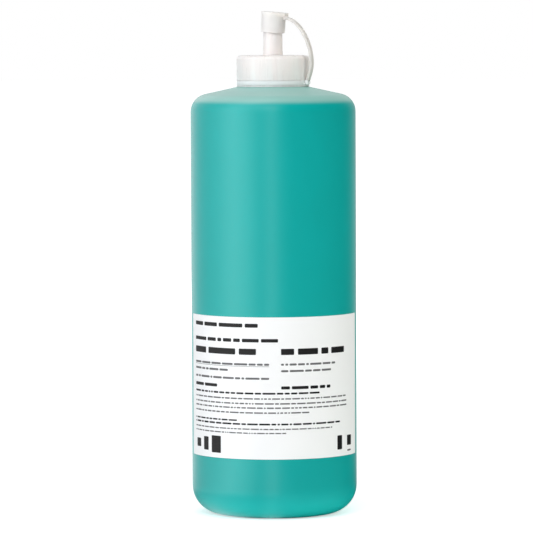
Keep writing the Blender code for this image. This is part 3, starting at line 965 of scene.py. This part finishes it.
def build_print(name, rows, seed, blocks):
    mesh = bmesh.new()
    add_words(mesh, rows, seed)
    add_blocks(mesh, blocks)
    return as_piece(name, mesh, "bottle", [])


HEAVY_SEED, FINE_SEED = 5, 11
heavy_print = build_print("label_print_heavy", HEAVY_ROWS, HEAVY_SEED, ICON_BLOCKS)
fine_print = build_print("label_print_fine", FINE_ROWS, FINE_SEED, [UNDERLINE, CAPTION])

# %% [markdown]
# Bottle finish. Natural high-density polyethylene is milky: it lets colour through but no
# image. Where soap wets the wall the teal shows, and above the soap only a pale grey-green
# is left. The change is a few millimetres deep, because the wall blurs the soap's edge.
# The corner at the foot is painted a brighter teal: painted light that stands in for the floor's light
# entering the wall there.
# The blown skin is satin, with the faint unevenness of the mould's blasted steel, drawn at
# 3 mm so that it shows at all in this picture.

# %% Bottle colour
SOAP_DARK, SOAP_LIGHT = "00a39d", "00a9a5"
# Painted light: a brighter teal that stands in for the floor's light at the foot.
FOOT_PAINTED_LIGHT_TEAL = "1ad8d1"
AIR_PALE = "92c5bd"
FOOT_PAINTED_LIGHT_TOP = 1.2 * BASE_CORNER
BLUR_LOW = FILL_LEVEL - 0.9 * MM
BLUR_HIGH = FILL_LEVEL + 2.4 * MM


def seen_through_wall(tree, place):
    """Teal up to the soap's level, painted brighter at the foot as painted light, and pale above."""
    height = add(tree, "ShaderNodeSeparateXYZ", Vector=place).outputs["Z"]
    cloud = add(tree, "ShaderNodeTexNoise", Vector=place, Scale=1 / (25 * MM), Detail=2.0, Roughness=0.5)
    teal = add(
        tree, "ShaderNodeMix", {"data_type": "RGBA"},
        _0=cloud.outputs["Fac"], _6=linear(SOAP_DARK), _7=linear(SOAP_LIGHT),
    )
    foot = add(
        # Painted light: the colour turns a brighter teal towards the foot.
        tree, "ShaderNodeMapRange", {"interpolation_type": "SMOOTHSTEP"},
        _0=height, _1=0.0, _2=FOOT_PAINTED_LIGHT_TOP, _3=1.0, _4=0.0,
    )
    wet_and_painted_light = add(
        tree, "ShaderNodeMix", {"data_type": "RGBA"},
        _0=foot.outputs[0], _6=teal.outputs[2], _7=linear(FOOT_PAINTED_LIGHT_TEAL),
    )
    blur = add(
        tree, "ShaderNodeMapRange", {"interpolation_type": "SMOOTHERSTEP"},
        _0=height, _1=BLUR_LOW, _2=BLUR_HIGH,
    )
    colour = add(
        tree, "ShaderNodeMix", {"data_type": "RGBA"},
        _0=blur.outputs[0], _6=wet_and_painted_light.outputs[2], _7=linear(AIR_PALE),
    )
    return colour.outputs[2]


print("colour changes from", round(BLUR_LOW / MM, 1), "to", round(BLUR_HIGH / MM, 1), "mm")


# %% Bottle material
def milky_polyethylene():
    material, tree, place = new_material("blow-moulded milky polyethylene")
    skin = add(tree, "ShaderNodeTexNoise", Vector=place, Scale=1 / (3 * MM), Detail=3.0, Roughness=0.6)
    bump = add(tree, "ShaderNodeBump", Strength=0.06, Distance=0.2 * MM, Height=skin.outputs["Fac"])
    sheen = add(tree, "ShaderNodeMapRange", _0=skin.outputs["Fac"], _3=0.27, _4=0.33)
    shader = add(
        tree, "ShaderNodeBsdfPrincipled", Base_Color=seen_through_wall(tree, place),
        Roughness=sheen.outputs[0], IOR=1.5, Normal=bump.outputs[0],
    )
    add(tree, "ShaderNodeOutputMaterial", Surface=shader.outputs[0])
    return material


def dress(obj, material):
    """Gives an object one material."""
    obj.data.materials.clear()
    obj.data.materials.append(material)


dress(bottle, milky_polyethylene())
print("bottle dressed")

# %% [markdown]
# Closure and tether finish. Both are natural polymers with no pigment: polypropylene in the
# closure and softer polyethylene in the tether. Their white is a little warm, as the photo
# shows. Ring, strap and tip cap are one moulding, but the ring, which lies on the closure,
# is painted paler than the tip cap as painted light, and the thin strap, with nothing behind
# it, is painted greyer as painted shade. The melt runs up the mould and leaves faint upright
# streaks, a noise in the colour that is ten times taller than wide. Finer marks of the same
# flow are in the roughness and the bump.

# %% White plastics
STREAK_WIDTH = 5 * MM
STREAK_SQUEEZE = (1.0, 1.0, 0.1)
SCATTER_TINT = (1.0, 0.97, 0.94)
SATIN_SPREAD = 0.04


def natural_plastic(name, light, dark, roughness, grain, depth):
    """Streaks from dark to light, marks of one grain, and light that scatters to a depth."""
    material, tree, place = new_material(name)
    upright = add(tree, "ShaderNodeMapping", Vector=place, Scale=STREAK_SQUEEZE).outputs[0]
    streak = add(
        tree, "ShaderNodeTexNoise",
        Vector=upright, Scale=1 / STREAK_WIDTH, Detail=2.0, Roughness=0.6,
    )
    colour = add(
        tree, "ShaderNodeMix", {"data_type": "RGBA"},
        _0=streak.outputs["Fac"], _6=linear(dark), _7=linear(light),
    )
    flow = add(tree, "ShaderNodeTexNoise", Vector=upright, Scale=1 / grain, Detail=3.0, Roughness=0.55)
    bump = add(tree, "ShaderNodeBump", Strength=0.02, Distance=0.1 * MM, Height=flow.outputs["Fac"])
    satin = add(
        tree, "ShaderNodeMapRange",
        _0=flow.outputs["Fac"], _3=roughness - SATIN_SPREAD, _4=roughness + SATIN_SPREAD,
    )
    shader = add(
        tree, "ShaderNodeBsdfPrincipled", Base_Color=colour.outputs[2], Roughness=satin.outputs[0],
        IOR=1.49, Normal=bump.outputs[0], Subsurface_Weight=1.0, Subsurface_Radius=SCATTER_TINT,
        Subsurface_Scale=depth,
    )
    add(tree, "ShaderNodeOutputMaterial", Surface=shader.outputs[0])
    return material


# Piece, material, lightest and darkest colour, roughness, grain and depth of scatter.
WHITE_PLASTICS = [
    (closure, "moulded natural polypropylene", "fffaf6", "efe3e0", 0.28, 3 * MM, 1.5 * MM),
    # The ring's colour is painted paler than the tip cap's: painted light.
    (ring, "soft polyethylene painted paler as light", "fefaf8", "faf6f3", 0.32, 2.5 * MM, 1.5 * MM),
    # The strap's colour is painted greyer than the tip cap's: painted shade.
    (strap, "soft polyethylene painted greyer as shade", "d6d2cd", "cfcbc6", 0.4, 2.5 * MM, 3.5 * MM),
    (tip_cap, "moulded natural soft polyethylene", "fbf5ef", "f0e9e3", 0.32, 2.5 * MM, 1.5 * MM),
]
for piece, *finish in WHITE_PLASTICS:
    dress(piece, natural_plastic(*finish))
    print(piece.name, "is", finish[0])

# %% [markdown]
# Label finish. Coated polypropylene film: bright satin white, with a very slight ripple
# from being laid on by a roller. The ink is matt, so it stays dark where the film shines. It
# is black in the heavy rows, and grey in the fine ones, whose thin strokes blur at this size.


# %% Film and ink
def label_film():
    material, tree, place = new_material("satin white polypropylene film")
    ripple = add(tree, "ShaderNodeTexNoise", Vector=place, Scale=1 / (12 * MM), Detail=1.0)
    colour = add(
        tree, "ShaderNodeMix", {"data_type": "RGBA"},
        _0=ripple.outputs["Fac"], _6=linear("f8f8f8"), _7=linear("fbfbfa"),
    )
    bump = add(tree, "ShaderNodeBump", Strength=0.04, Distance=0.3 * MM, Height=ripple.outputs["Fac"])
    shader = add(
        tree, "ShaderNodeBsdfPrincipled",
        Base_Color=colour.outputs[2], Roughness=0.42, IOR=1.49, Normal=bump.outputs[0],
    )
    add(tree, "ShaderNodeOutputMaterial", Surface=shader.outputs[0])
    return material


def printed_ink(name, thin, dense):
    material, tree, place = new_material(name)
    speck = add(tree, "ShaderNodeTexNoise", Vector=place, Scale=1 / (0.4 * MM), Detail=2.0)
    colour = add(
        tree, "ShaderNodeMix", {"data_type": "RGBA"},
        _0=speck.outputs["Fac"], _6=linear(dense), _7=linear(thin),
    )
    shader = add(
        tree, "ShaderNodeBsdfPrincipled",
        Base_Color=colour.outputs[2], Roughness=0.6, Specular_IOR_Level=0.2,
    )
    add(tree, "ShaderNodeOutputMaterial", Surface=shader.outputs[0])
    return material


dress(label, label_film())
dress(heavy_print, printed_ink("black printing ink", "2a2a2a", "141414"))
dress(fine_print, printed_ink("grey printing ink", "7a7a7a", "5e5e5e"))
print("label dressed")

# %% [markdown]
# Hidden pieces. The soap and the foam washer keep their CAD shape, because nothing shows
# them in use. They still get their own finish for when the closure is off.


# %% Soap and washer
def teal_soap():
    material, tree, place = new_material("teal liquid soap")
    swirl = add(tree, "ShaderNodeTexNoise", Vector=place, Scale=1 / (30 * MM), Detail=2.0)
    colour = add(
        tree, "ShaderNodeMix", {"data_type": "RGBA"},
        _0=swirl.outputs["Fac"], _6=linear("009a8f"), _7=linear("02ada3"),
    )
    shader = add(
        tree, "ShaderNodeBsdfPrincipled",
        Base_Color=colour.outputs[2], Roughness=0.08, IOR=1.36,
    )
    add(tree, "ShaderNodeOutputMaterial", Surface=shader.outputs[0])
    return material


def foam():
    material, tree, place = new_material("white polyethylene foam")
    cells = add(tree, "ShaderNodeTexVoronoi", Vector=place, Scale=1 / (0.3 * MM))
    colour = add(
        tree, "ShaderNodeMix", {"data_type": "RGBA"},
        _0=cells.outputs["Distance"], _6=linear("f0f0ec"), _7=linear("dcdcd6"),
    )
    bump = add(tree, "ShaderNodeBump", Strength=0.4, Distance=0.1 * MM, Height=cells.outputs["Distance"])
    shader = add(
        tree, "ShaderNodeBsdfPrincipled",
        Base_Color=colour.outputs[2], Roughness=0.85, IOR=1.5, Normal=bump.outputs[0],
    )
    add(tree, "ShaderNodeOutputMaterial", Surface=shader.outputs[0])
    return material


for node, finish in (("soap_fill", teal_soap()), ("sealing_washer", foam())):
    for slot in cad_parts[node].material_slots:
        slot.material = finish
print("hidden pieces dressed")

# %% Finish
bpy.context.scene.view_settings.view_transform = "Standard"
